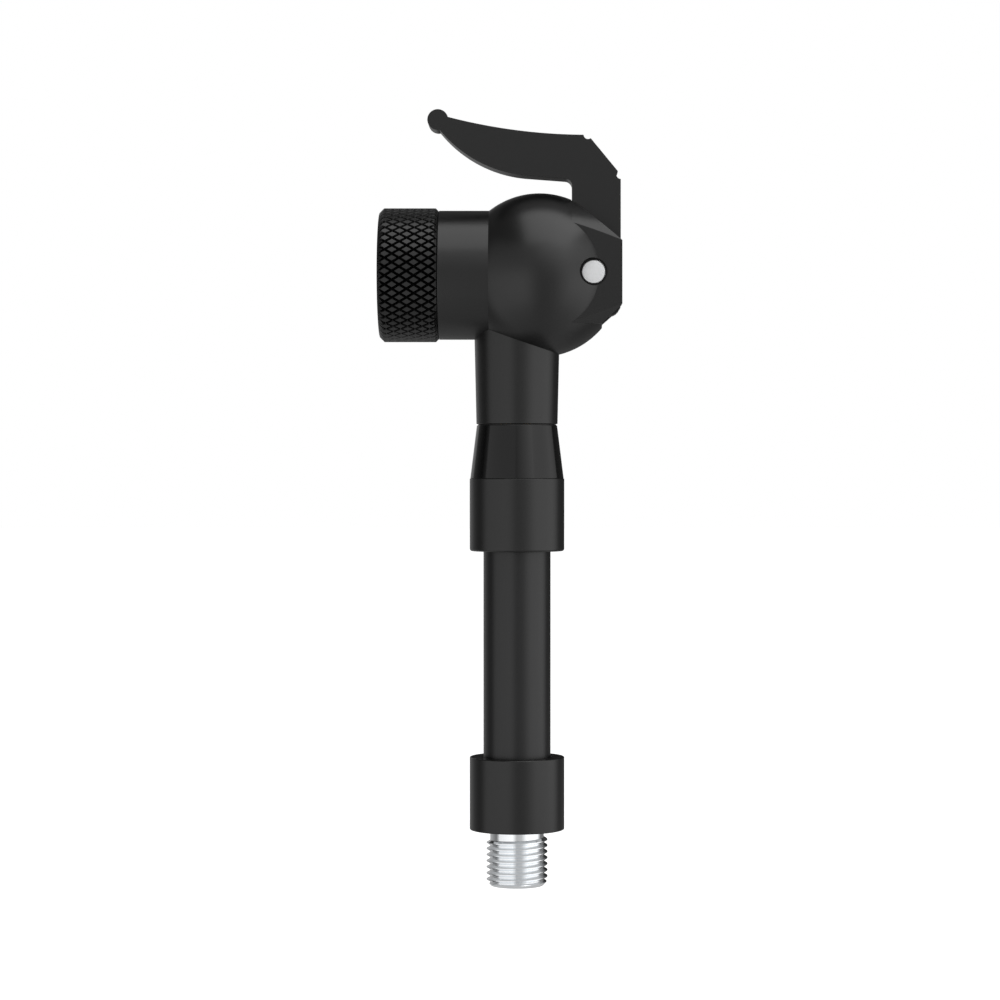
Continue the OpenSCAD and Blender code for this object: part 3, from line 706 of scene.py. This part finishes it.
POCKET_R = 7.48
SLOT_FRONT = 8.9
PORT_R = 1.75
NECK_BORE, LOCK_GROOVE_R, LOCK_GROOVE = 4.04, 4.65, (74.9, 75.9)
RECESS_R, RECESS_FLOOR = 2.24, 7.9
slot = across(bar("slot", POCKET_R, -SLOT_HALF, SLOT_HALF))
for x0, z0, z1 in ((SLOT_FRONT, HEAD, FAR_UP), (HEEL_START, FAR_DOWN, HEAD + 1)):
    combined(slot, block("slot_part", footprint(x0, FAR_BACK, -SLOT_HALF, SLOT_HALF, lambda x, y: z0), z1), "UNION")
combined(housing, slot, "DIFFERENCE")
combined(housing, on_head_axis(bar("chamber", CHAMBER_R, CAP_FRONT, PISTON_FRONT)), "DIFFERENCE")
combined(housing, on_head_axis(bar("cylinder", CYLINDER_R, PISTON_FRONT - 1, BORE_END)), "DIFFERENCE")
combined(housing, bar("port", PORT_R, JOURNAL_TOP, HEAD), "DIFFERENCE")
combined(housing, bar("neck_bore", NECK_BORE, NECK_FOOT - 1, JOURNAL_TOP + 0.5), "DIFFERENCE")
combined(housing, bar("ring_groove", LOCK_GROOVE_R, *LOCK_GROOVE), "DIFFERENCE")
combined(housing, across(bar("pin_hole", PIN_R + 0.02, -FAR_SIDE, FAR_SIDE)), "DIFFERENCE")
for low, high in ((RECESS_FLOOR, FAR_SIDE), (-FAR_SIDE, -RECESS_FLOOR)):
    combined(housing, across(bar("pin_recess", RECESS_R, low, high)), "DIFFERENCE")
print("housing:", len(housing.data.polygons), "faces")

# %% Break the housing's outside edges behind the ball, but not those of the milled foot
HOUSING_BREAK = 0.07


def behind_the_ball(point):
    return point.x > SLOT_FRONT - 0.5 and point.z > HEAD - CHEEK_DROP + 0.2


edges_broken(housing, HOUSING_BREAK, wanted=behind_the_ball)
cleaned(housing)
softened(housing, crisp_angle=20, flat_area=9)
finished(housing, "head", housing_black, "black_housing", "head_housing")

# %% [markdown]
# ## Spigot
# The cap screws onto a spigot at the barrel's front, and the spigot's M17 x 1 thread shows only when the cap is
# wound out. It is the same helical mesh as the stub, tipped onto the head's axis.

# %% The spigot's thread
SPIGOT_CHAMFER = 0.3


def spigot_envelope(x):
    return min(SPIGOT_R, SPIGOT_R - SPIGOT_CHAMFER + (x - SPIGOT_FRONT))


spigot = on_head_axis(threaded("spigot_thread", SPIGOT_R, PITCH, SPIGOT_FRONT, SHOULDER, spigot_envelope,
                               [(CHAMBER_R, SPIGOT_FRONT), (CHAMBER_R, SHOULDER)]))
softened(spigot, crisp_angle=30, weighted=False)
finished(spigot, "head", housing_black, "black_housing")

# %% [markdown]
# ## Knurled cap
# A diamond knurl is rolled: two sets of slanting grooves cross and leave flat-topped diamonds. Each diamond is
# made on its own, a flat top with four sloping sides that go down to the grooves' bottoms, and the neighbours share
# those bottom corners. 48 diamonds go round the cap. The patterned sleeve is made too long and is then cut by a
# turned ring, which gives both chamfers, the bore and the mouth.

# %% One sleeve of diamonds
DIAMONDS = 48
DIAMOND_LENGTH = 2.35
GROOVE_SHARE = 0.36
GROOVE_DEPTH = 0.55


def diamond_sleeve(name, radius, low, high):
    step_a, step_z = math.pi / DIAMONDS, DIAMOND_LENGTH / 2
    middle = (low + high) / 2
    reach = math.ceil((high - low) / 2 / step_z) + 3
    points, faces = [], []

    def corner(i, j, r):
        a = step_a * i
        points.append((r * math.cos(a), r * math.sin(a), middle + step_z * j))
        return len(points) - 1

    for j in range(-reach, reach + 1):
        for i in range(2 * DIAMONDS):
            if (i + j) % 2:
                ends = ((1, 0), (0, 1), (-1, 0), (0, -1))
                low_ring = [corner(i + a, j + b, radius - GROOVE_DEPTH) for a, b in ends]
                top = [corner(i + a * (1 - GROOVE_SHARE), j + b * (1 - GROOVE_SHARE), radius) for a, b in ends]
                peak = corner(i, j, radius)
                for k in range(4):
                    faces.append((top[k], top[(k + 1) % 4], peak))
                    faces.append((low_ring[k], low_ring[(k + 1) % 4], top[(k + 1) % 4], top[k]))
    sleeve = piece_from(name, points, faces)
    bm = bmesh.new()
    bm.from_mesh(sleeve.data)
    bmesh.ops.remove_doubles(bm, verts=bm.verts, dist=0.002 * MM)
    for sign in (-1, 1):
        rim = [v for v in bm.verts if any(e.is_boundary for e in v.link_edges) and (v.co.z / MM - middle) * sign > 0]
        hub = bm.verts.new((0, 0, (middle + sign * (reach + 2) * step_z) * MM))
        for edge in {e for v in rim for e in v.link_edges if e.is_boundary}:
            bm.faces.new((edge.verts[0], edge.verts[1], hub))
    bmesh.ops.recalc_face_normals(bm, faces=bm.faces)
    bm.to_mesh(sleeve.data)
    bm.free()
    return sleeve


# %% Cut the sleeve to the cap's shape
MOUTH_R, CAP_BORE = 4.5, 8.56
FRONT_CHAMFER, REAR_CHAMFER, MOUTH_CHAMFER = 0.75, 0.45, 0.45
BEYOND = 0.5
cap = diamond_sleeve("knurled_screw_cap", CAP_R, CAP_FRONT, CAP_REAR)
ring = turned("cap_ring", [
    (MOUTH_R + MOUTH_CHAMFER, CAP_FRONT, 0.08), (CAP_R - FRONT_CHAMFER, CAP_FRONT, 0.1),
    (CAP_R + BEYOND, CAP_FRONT + FRONT_CHAMFER + BEYOND), (CAP_R + BEYOND, CAP_REAR - REAR_CHAMFER - BEYOND),
    (CAP_R - REAR_CHAMFER, CAP_REAR, 0.06), (CAP_BORE, CAP_REAR, 0.1), (CAP_BORE, CAP_FLOOR), (MOUTH_R, CAP_FLOOR),
    (MOUTH_R, CAP_FRONT + MOUTH_CHAMFER, 0.08)], steps=192)
combined(cap, ring, "INTERSECT")
on_head_axis(cleaned(cap))
softened(cap, crisp_angle=28, weighted=False)
# The cap's darker base colour is painted shade for the shade in its knurl's grooves.
finished(cap, "cap", knurl_black_painted_groove_shade, "knurled_black", "knurled_cap")

# %% [markdown]
# ## Lever
# The lever is one plate, cut along its outline. The outline is written with the same arcs as the solid: the hollow
# underside, the long top edge, the bead that keeps a thumb from slipping, two small notches beside the sloped back,
# and the cam around the pin, an involute, whose distance from the pin grows evenly as the lever turns.

# %% The lever's outline
def arc(cx, cz, r, a, b, steps=24):
    return [(cx + r * math.cos(math.radians(a + (b - a) * k / steps)),
             cz + r * math.sin(math.radians(a + (b - a) * k / steps))) for k in range(steps + 1)]


UNDER_X, UNDER_Z, UNDER_R, UNDER_FALL = 3.25, 36.4, 20.4, 4.3
TOP_X, TOP_Z, TOP_R = 11.6, 113.75, 91.0
BEAD_X, BEAD_R, BEAD_LIFT = -12.9, 1.7, 0.2
ARM_X, ARM_FRONT, ARM_ROUND = 9.0, 3.4, 1.2
CAM_REST, STROKE, CAM_LOCKED = 3.9, 2.8, 6.7
HEEL_R = 1.9
CORNER_X, CORNER_Z, HANDLE_TOP, NOTCH_R = 11.6, 16.25, 22.75, 0.7


def cam(steps=32):
    base = STROKE / (math.pi / 2)
    out = []
    for k in range(steps + 1):
        a, reach = math.pi / 2 * k / steps, CAM_REST + STROKE * k / steps
        out.append((PIN_X - reach * math.cos(a) + base * math.sin(a), -reach * math.sin(a) - base * math.cos(a)))
    return out


under_start = math.degrees(math.acos((BEAD_X - UNDER_X) / UNDER_R))
top_start = math.degrees(math.acos((BEAD_X - TOP_X) / TOP_R))
top_end = math.degrees(math.acos((CORNER_X - TOP_X) / TOP_R))
bead_z = BEAD_LIFT + (UNDER_Z - UNDER_R * math.sin(math.radians(under_start))
                      + TOP_Z - TOP_R * math.sin(math.radians(top_start))) / 2
fall = math.radians(UNDER_FALL)
round_x = ARM_X - ARM_ROUND
round_z = UNDER_Z - (UNDER_R + ARM_ROUND + (round_x - UNDER_X) * math.sin(fall)) / math.cos(fall)
outline = (arc(UNDER_X, UNDER_Z, UNDER_R, -under_start, -90 - UNDER_FALL, 48)
           + arc(round_x, round_z, ARM_ROUND, 90 - UNDER_FALL, 0, 12)
           + [(ARM_X, CAM_REST + ARM_FRONT), (PIN_X - CAM_REST, CAM_REST)] + cam()
           + arc(LEVER_BACK - HEEL_R, HEEL_R - CAM_LOCKED, HEEL_R, -90, 0, 16)
           + [(LEVER_BACK, CORNER_Z), (CORNER_X, HANDLE_TOP)] + arc(TOP_X, TOP_Z, TOP_R, -top_end, -top_start, 48))
print("bead height over the head's axis:", round(bead_z, 2))


# %% Plate, bead, notches and pin hole
def plate(name, corners, half):
    count = len(corners)
    points = [(x, y, z + HEAD) for y in (-half, half) for x, z in corners]
    faces = [tuple(range(count)), tuple(range(2 * count - 1, count - 1, -1))]
    faces += [(i, i + count, (i + 1) % count + count, (i + 1) % count) for i in range(count)]
    return cleaned(piece_from(name, points, faces))


def dot(x, z, r, half, steps=64):
    return plate("dot", arc(x, z, r, 0, 360 * (steps - 1) / steps, steps - 1), half)


LEVER_BREAK = 0.08
PIN_SLIP = 0.04
lever = plate("thumb_lever", outline, LEVER_HALF)
combined(lever, dot(BEAD_X, bead_z, BEAD_R, LEVER_HALF), "UNION")
for x, z, r in ((LEVER_BACK, CORNER_Z, NOTCH_R), (CORNER_X, HANDLE_TOP, NOTCH_R), (PIN_X, 0, PIN_R + PIN_SLIP)):
    combined(lever, dot(x, z, r, LEVER_HALF + 1), "DIFFERENCE")
edges_broken(lever, LEVER_BREAK, least_angle=40)
cleaned(lever)
softened(lever, crisp_angle=25)
finished(lever, "lever", lever_black, "black_lever", "lever")

# %% [markdown]
# ## Pin
# A ground steel pin with a polished chamfer at both ends, a hair below the cheeks. The chamfer catches the light as
# a thin bright crescent, and the recess around it stays black.

# %% The lever's pin
PIN_HALF, PIN_CHAMFER = 9.2, 0.15
pin = across(turned("lever_pin_ground", [
    (0, -PIN_HALF), (PIN_R - PIN_CHAMFER, -PIN_HALF, 0.03), (PIN_R, -PIN_HALF + PIN_CHAMFER, 0.03),
    (PIN_R, PIN_HALF - PIN_CHAMFER, 0.03), (PIN_R - PIN_CHAMFER, PIN_HALF, 0.03), (0, PIN_HALF)], steps=96))
softened(pin, crisp_angle=20)
finished(pin, "head", pin_steel, "steel_pin", "lever_pin")

# %% [markdown]
# ## Seal
# The rubber sleeve that grips the valve.

# %% The valve seal
SEAL_R, SEAL_HOLE = 7.0, 4.0
RECESS_IN_SEAL, RECESS_FACE = 5.0, -14.1
seal = on_head_axis(turned("valve_seal_rubber", [
    (SEAL_HOLE, SEAL_FRONT, 0.35), (SEAL_R, SEAL_FRONT, 0.3), (SEAL_R, SEAL_BACK, 0.3),
    (RECESS_IN_SEAL, SEAL_BACK, 0.15), (RECESS_IN_SEAL, RECESS_FACE, 0.1), (SEAL_HOLE, RECESS_FACE, 0.15)], steps=96))
softened(seal)
finished(seal, "seal_carrier", moulded_rubber, "seal_rubber", "valve_seal")
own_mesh(seal)

# %% [markdown]
# ## Pieces kept from the CAD model
# The inner pieces are right as they are, so they only get their materials.

# %% Materials for the CAD nodes
kept = {
    "swivel_stem": stem_brass, "swivel_lock_ring": spring_steel,
    "swivel_o_ring_lower": moulded_rubber, "swivel_o_ring_upper": moulded_rubber,
    "piston": turned_brass, "core_depressor": turned_brass, "thrust_washer": washer_steel,
    "piston_o_ring_front": moulded_rubber, "piston_o_ring_rear": moulded_rubber,
}
for name, material in kept.items():
    node = frame["nodes"][name]
    for index in range(max(1, len(node.material_slots))):
        if index < len(node.material_slots):
            node.material_slots[index].material = material
        else:
            node.data.materials.append(material)
print("CAD nodes with new materials:", len(kept))

# %% [markdown]
# ## Studio
# A black object on white is lit twice: its colour by lamps, and its gloss by what it mirrors. Two tall softboxes
# stand in front, left and right, and one hangs overhead. They are kept out of the mirrors, which have a tent of
# their own further down. The floor and the world are white where the camera sees them, and the floor keeps the
# object's shadow. From below the floor is clear, so that the object can also be looked at from underneath.

# %% Camera
CAMERA_PLACE = (5.0, -480.0, 59.5)
FRAME_WIDTH = 164.0
FRAME_MIDDLE = (-2.79, 53.96)
camera = bpy.data.objects.new("camera", bpy.data.cameras.new("camera"))
camera.data.sensor_width = 36.0
camera.data.lens = camera.data.sensor_width * -CAMERA_PLACE[1] / FRAME_WIDTH
camera.data.shift_x = (FRAME_MIDDLE[0] - CAMERA_PLACE[0]) / FRAME_WIDTH
camera.data.shift_y = (FRAME_MIDDLE[1] - CAMERA_PLACE[2]) / FRAME_WIDTH
camera.data.clip_start = 0.05
camera.location = [c * MM for c in CAMERA_PLACE]
camera.rotation_euler = (math.pi / 2, 0, 0)
scene.collection.objects.link(camera)
scene.camera = camera
print("lens", round(camera.data.lens, 2), "shift", round(camera.data.shift_x, 4), round(camera.data.shift_y, 4))


# %% Softboxes
AIM = (0, 0, 0.07)


def softbox(name, place, width, height, radiance):
    lamp = bpy.data.lights.new(name, "AREA")
    lamp.shape = "RECTANGLE"
    lamp.size, lamp.size_y = width, height
    lamp.energy = radiance * math.pi * width * height
    holder = bpy.data.objects.new(name, lamp)
    holder.location = place
    holder.rotation_mode = "QUATERNION"
    holder.rotation_quaternion = (Vector(AIM) - Vector(place)).to_track_quat("-Z", "Y")
    holder.visible_glossy = False
    scene.collection.objects.link(holder)
    print(name, round(lamp.energy, 2), "W")


softbox("softbox left", place=(-0.62, -0.52, 0.12), width=0.42, height=1.1, radiance=1.0)
softbox("softbox right", place=(0.60, -0.62, 0.12), width=0.36, height=1.1, radiance=1.5)
softbox("softbox top", place=(0.03, -0.10, 0.85), width=0.55, height=0.5, radiance=1.6)


# %% A sheet that only mirrors can see, or a floor
def sheet_of(name, corners, material, mirrors_only):
    mesh = bpy.data.meshes.new(name)
    mesh.from_pydata(corners, [], [tuple(range(k, k + 4)) for k in range(0, len(corners), 4)])
    sheet = bpy.data.objects.new(name, mesh)
    scene.collection.objects.link(sheet)
    mesh.materials.append(material)
    if mirrors_only:
        sheet.visible_camera = sheet.visible_diffuse = sheet.visible_shadow = False
        sheet.visible_transmission = False
    return sheet


def square(half, z):
    return [(x * half, y * half, z) for x, y in ((-1, -1), (1, -1), (1, 1), (-1, 1))]


# %% One where the camera, a mirror or glass looks, and nought for all other rays
def looked_at(tree):
    rays = add_node(tree, "ShaderNodeLightPath")
    seen = rays.outputs["Is Camera Ray"]
    for kind in ("Is Glossy Ray", "Is Transmission Ray"):
        seen = add_node(tree, "ShaderNodeMath", {"operation": "MAXIMUM"}, i0=seen, i1=rays.outputs[kind]).outputs[0]
    return seen


# %% Pale floor, white to the camera, that keeps the shadow and is clear from below
FLOOR_Z = -0.036
FLOOR_HALF = 4
FLOOR_LIFT = 0.7
floor_material, tree = new_material("pale studio floor")
paint = add_node(tree, "ShaderNodeBsdfDiffuse", Color=linear("#e8e8e8"))
dim = add_node(tree, "ShaderNodeMath", {"operation": "MULTIPLY"}, i0=looked_at(tree), i1=FLOOR_LIFT)
lift = add_node(tree, "ShaderNodeEmission", Color=linear("#ffffff"), Strength=dim.outputs[0])
both = add_node(tree, "ShaderNodeAddShader", i0=paint.outputs[0], i1=lift.outputs[0])
side = add_node(tree, "ShaderNodeNewGeometry")
clear = add_node(tree, "ShaderNodeBsdfTransparent")
one_way = add_node(tree, "ShaderNodeMixShader", Fac=side.outputs["Backfacing"], i1=both.outputs[0],
                   i2=clear.outputs[0])
add_node(tree, "ShaderNodeOutputMaterial", Surface=one_way.outputs[0])
sheet_of("floor", square(FLOOR_HALF, FLOOR_Z), floor_material, False)
print("floor", round((STUB_END * MM - FLOOR_Z) / MM, 1), "mm under the stub")

# %% [markdown]
# ## What the gloss mirrors
# Around the object stands a tent of cards that only mirrors can see: light diffusers, dark cards between them, so
# that the round pieces get light bands with dark gaps and dark edges, and a fold in front, which the flat faces
# mirror as an even grey. Each card is one sheet, from the object's foot out over the floor and up the tent's wall.
# A card has one level at its start and one at its end, so that it can fade from side to side: `low` on the floor
# and at the wall's foot, then `middle`, `high` and `top` on the wall, and `ground` where the floor near the object
# needs another. The bright stub mirrors the floor right around it, so the levels there stay between two limits.
# The levels are stored on the mesh's corners, and the card's material shows them as light.

# %% One material for all cards
LEVEL = "level"
card_material, tree = new_material("fabric of the light tent")
level = add_node(tree, "ShaderNodeAttribute", {"attribute_name": LEVEL})
glow = add_node(tree, "ShaderNodeEmission", Color=(1.0, 1.0, 1.0, 1.0), Strength=level.outputs["Fac"])
add_node(tree, "ShaderNodeOutputMaterial", Surface=glow.outputs[0])

# %% A card that fades between its corners
TENT_R = 1.4
CARD_FLOOR = -0.03
FOOT_R, FOOT_LEVEL = 0.03, 0.5
NEAR_R, NEAR_BRIGHTEST = (0.12, 0.16), (0.8, 1.08)
NEAR_DARKEST = 0.2
FLOOR_R = 0.33
MIDDLE_HEIGHT, HIGH_HEIGHT, TENT_TOP = 0.37, 0.76, 1.25
CARD_PARTS = 12


def mirrored_card(name, corners, levels):
    sheet = sheet_of(name, corners, card_material, True)
    stored = sheet.data.attributes.new(LEVEL, "FLOAT", "POINT")
    for point, value in zip(stored.data, levels):
        point.value = value


def tent_card(name, start, end, low, middle, high, top, ground=None):
    heights = [(FOOT_R, CARD_FLOOR, (FOOT_LEVEL, FOOT_LEVEL))]
    heights += [(reach, CARD_FLOOR, [max(NEAR_DARKEST, min(most, value)) for value in low])
                for reach, most in zip(NEAR_R, NEAR_BRIGHTEST)]
    heights += [(FLOOR_R, CARD_FLOOR, ground or low), (TENT_R, CARD_FLOOR, low),
                (TENT_R, MIDDLE_HEIGHT, middle), (TENT_R, HIGH_HEIGHT, high), (TENT_R, TENT_TOP, top)]
    corners, levels = [], []
    for k in range(CARD_PARTS):
        for below, above in zip(heights, heights[1:]):
            for share, (reach, z, ends) in ((k, below), (k + 1, below), (k + 1, above), (k, above)):
                a = math.radians(start + (end - start) * share / CARD_PARTS)
                corners.append((reach * math.sin(a), -reach * math.cos(a), z))
                levels.append(ends[0] + (ends[1] - ends[0]) * share / CARD_PARTS)
    mirrored_card(name, corners, levels)


# %% The tent, in degrees from the camera towards the right
tent_card("left diffuser", -84, -18, low=(0.88, 1.18), middle=(0.66, 0.64), high=(0.5, 0.6), top=(0.2, 0.6))
tent_card("left diffuser's edge", -18, -3, low=(1.18, 0.55), middle=(0.64, 0.62), high=(0.6, 0.65), top=(0.6, 0.7))
tent_card("fold in front", -3, 20, low=(0.46, 0.53), middle=(0.4, 0.85), high=(0.9, 1.25), top=(1.2, 1.45))
tent_card("fold's edge", 20, 44, low=(0.53, 1.35), middle=(0.85, 1.4), high=(1.25, 1.7), top=(1.45, 1.6))
tent_card("right diffuser", 44, 96, low=(1.5, 1.35), middle=(1.2, 1.0), high=(1.6, 0.99), top=(1.6, 0.84))
tent_card("right diffuser's edge", 96, 118, low=(1.35, 0.2), middle=(1.0, 0.6), high=(0.99, 0.5), top=(0.84, 0.4))
tent_card("dark card right", 118, 184, low=(0.12, 0.02), middle=(0.05, 0.0), high=(0.1, 0.1), top=(0.1, 0.1),
          ground=(0.12, 0.16))
tent_card("grey card behind", 184, 222, low=(0.3, 0.4), middle=(0.45, 0.65), high=(0.1, 0.1), top=(0.05, 0.05))
tent_card("dark card left", 222, 262, low=(0.35, 0.1), middle=(0.05, 0.03), high=(0.15, 0.15), top=(0.1, 0.1))
tent_card("dark card's edge", 262, 276, low=(0.1, 0.5), middle=(0.03, 0.2), high=(0.15, 0.2), top=(0.1, 0.15))

# %% Overhead panel, ceiling and the floor under the object
PANEL_Z, PANEL_LEFT, PANEL_RIGHT, PANEL_FRONT, PANEL_BACK = 0.975, -0.27, 0.9, -0.99, 0.22
WIDER_IN_FRONT, SLANT = 0.12, 0.1
LEFT_END, RIGHT_END, CEILING = 1.7, 2.4, 0.12
mirrored_card("overhead panel", [
    (PANEL_LEFT - WIDER_IN_FRONT, PANEL_FRONT, PANEL_Z), (PANEL_RIGHT, PANEL_FRONT, PANEL_Z),
    (PANEL_RIGHT, PANEL_BACK, PANEL_Z), (PANEL_LEFT, PANEL_BACK - SLANT, PANEL_Z)],
    [LEFT_END, RIGHT_END, RIGHT_END, LEFT_END])
mirrored_card("dark ceiling", square(TENT_R, TENT_TOP), [CEILING] * 4)
mirrored_card("grey under the object", square(FOOT_R, CARD_FLOOR - 0.001), [FOOT_LEVEL] * 4)
print("mirrored cards:", sum(1 for sheet in scene.objects if LEVEL in getattr(sheet.data, "attributes", ())))

# %% [markdown]
# ## White room
# The room is white where the camera, a mirror or glass looks. It lights everything else with half of that, which
# keeps the shadows soft and the softboxes in charge.

# %% World
ROOM_LIGHT = 0.5
world = bpy.data.worlds.new("white studio")
scene.world = world
world.use_nodes = True
tree = world.node_tree
tree.nodes.clear()
fill = add_node(tree, "ShaderNodeBackground", Color=linear("#ffffff"), Strength=ROOM_LIGHT)
white = add_node(tree, "ShaderNodeBackground", Color=linear("#ffffff"), Strength=1.0)
mixed = add_node(tree, "ShaderNodeMixShader", Fac=looked_at(tree), i1=fill.outputs[0], i2=white.outputs[0])
add_node(tree, "ShaderNodeOutputWorld", Surface=mixed.outputs[0])
scene.view_settings.view_transform = "Standard"
print("room light", ROOM_LIGHT, "of white, view transform", scene.view_settings.view_transform)
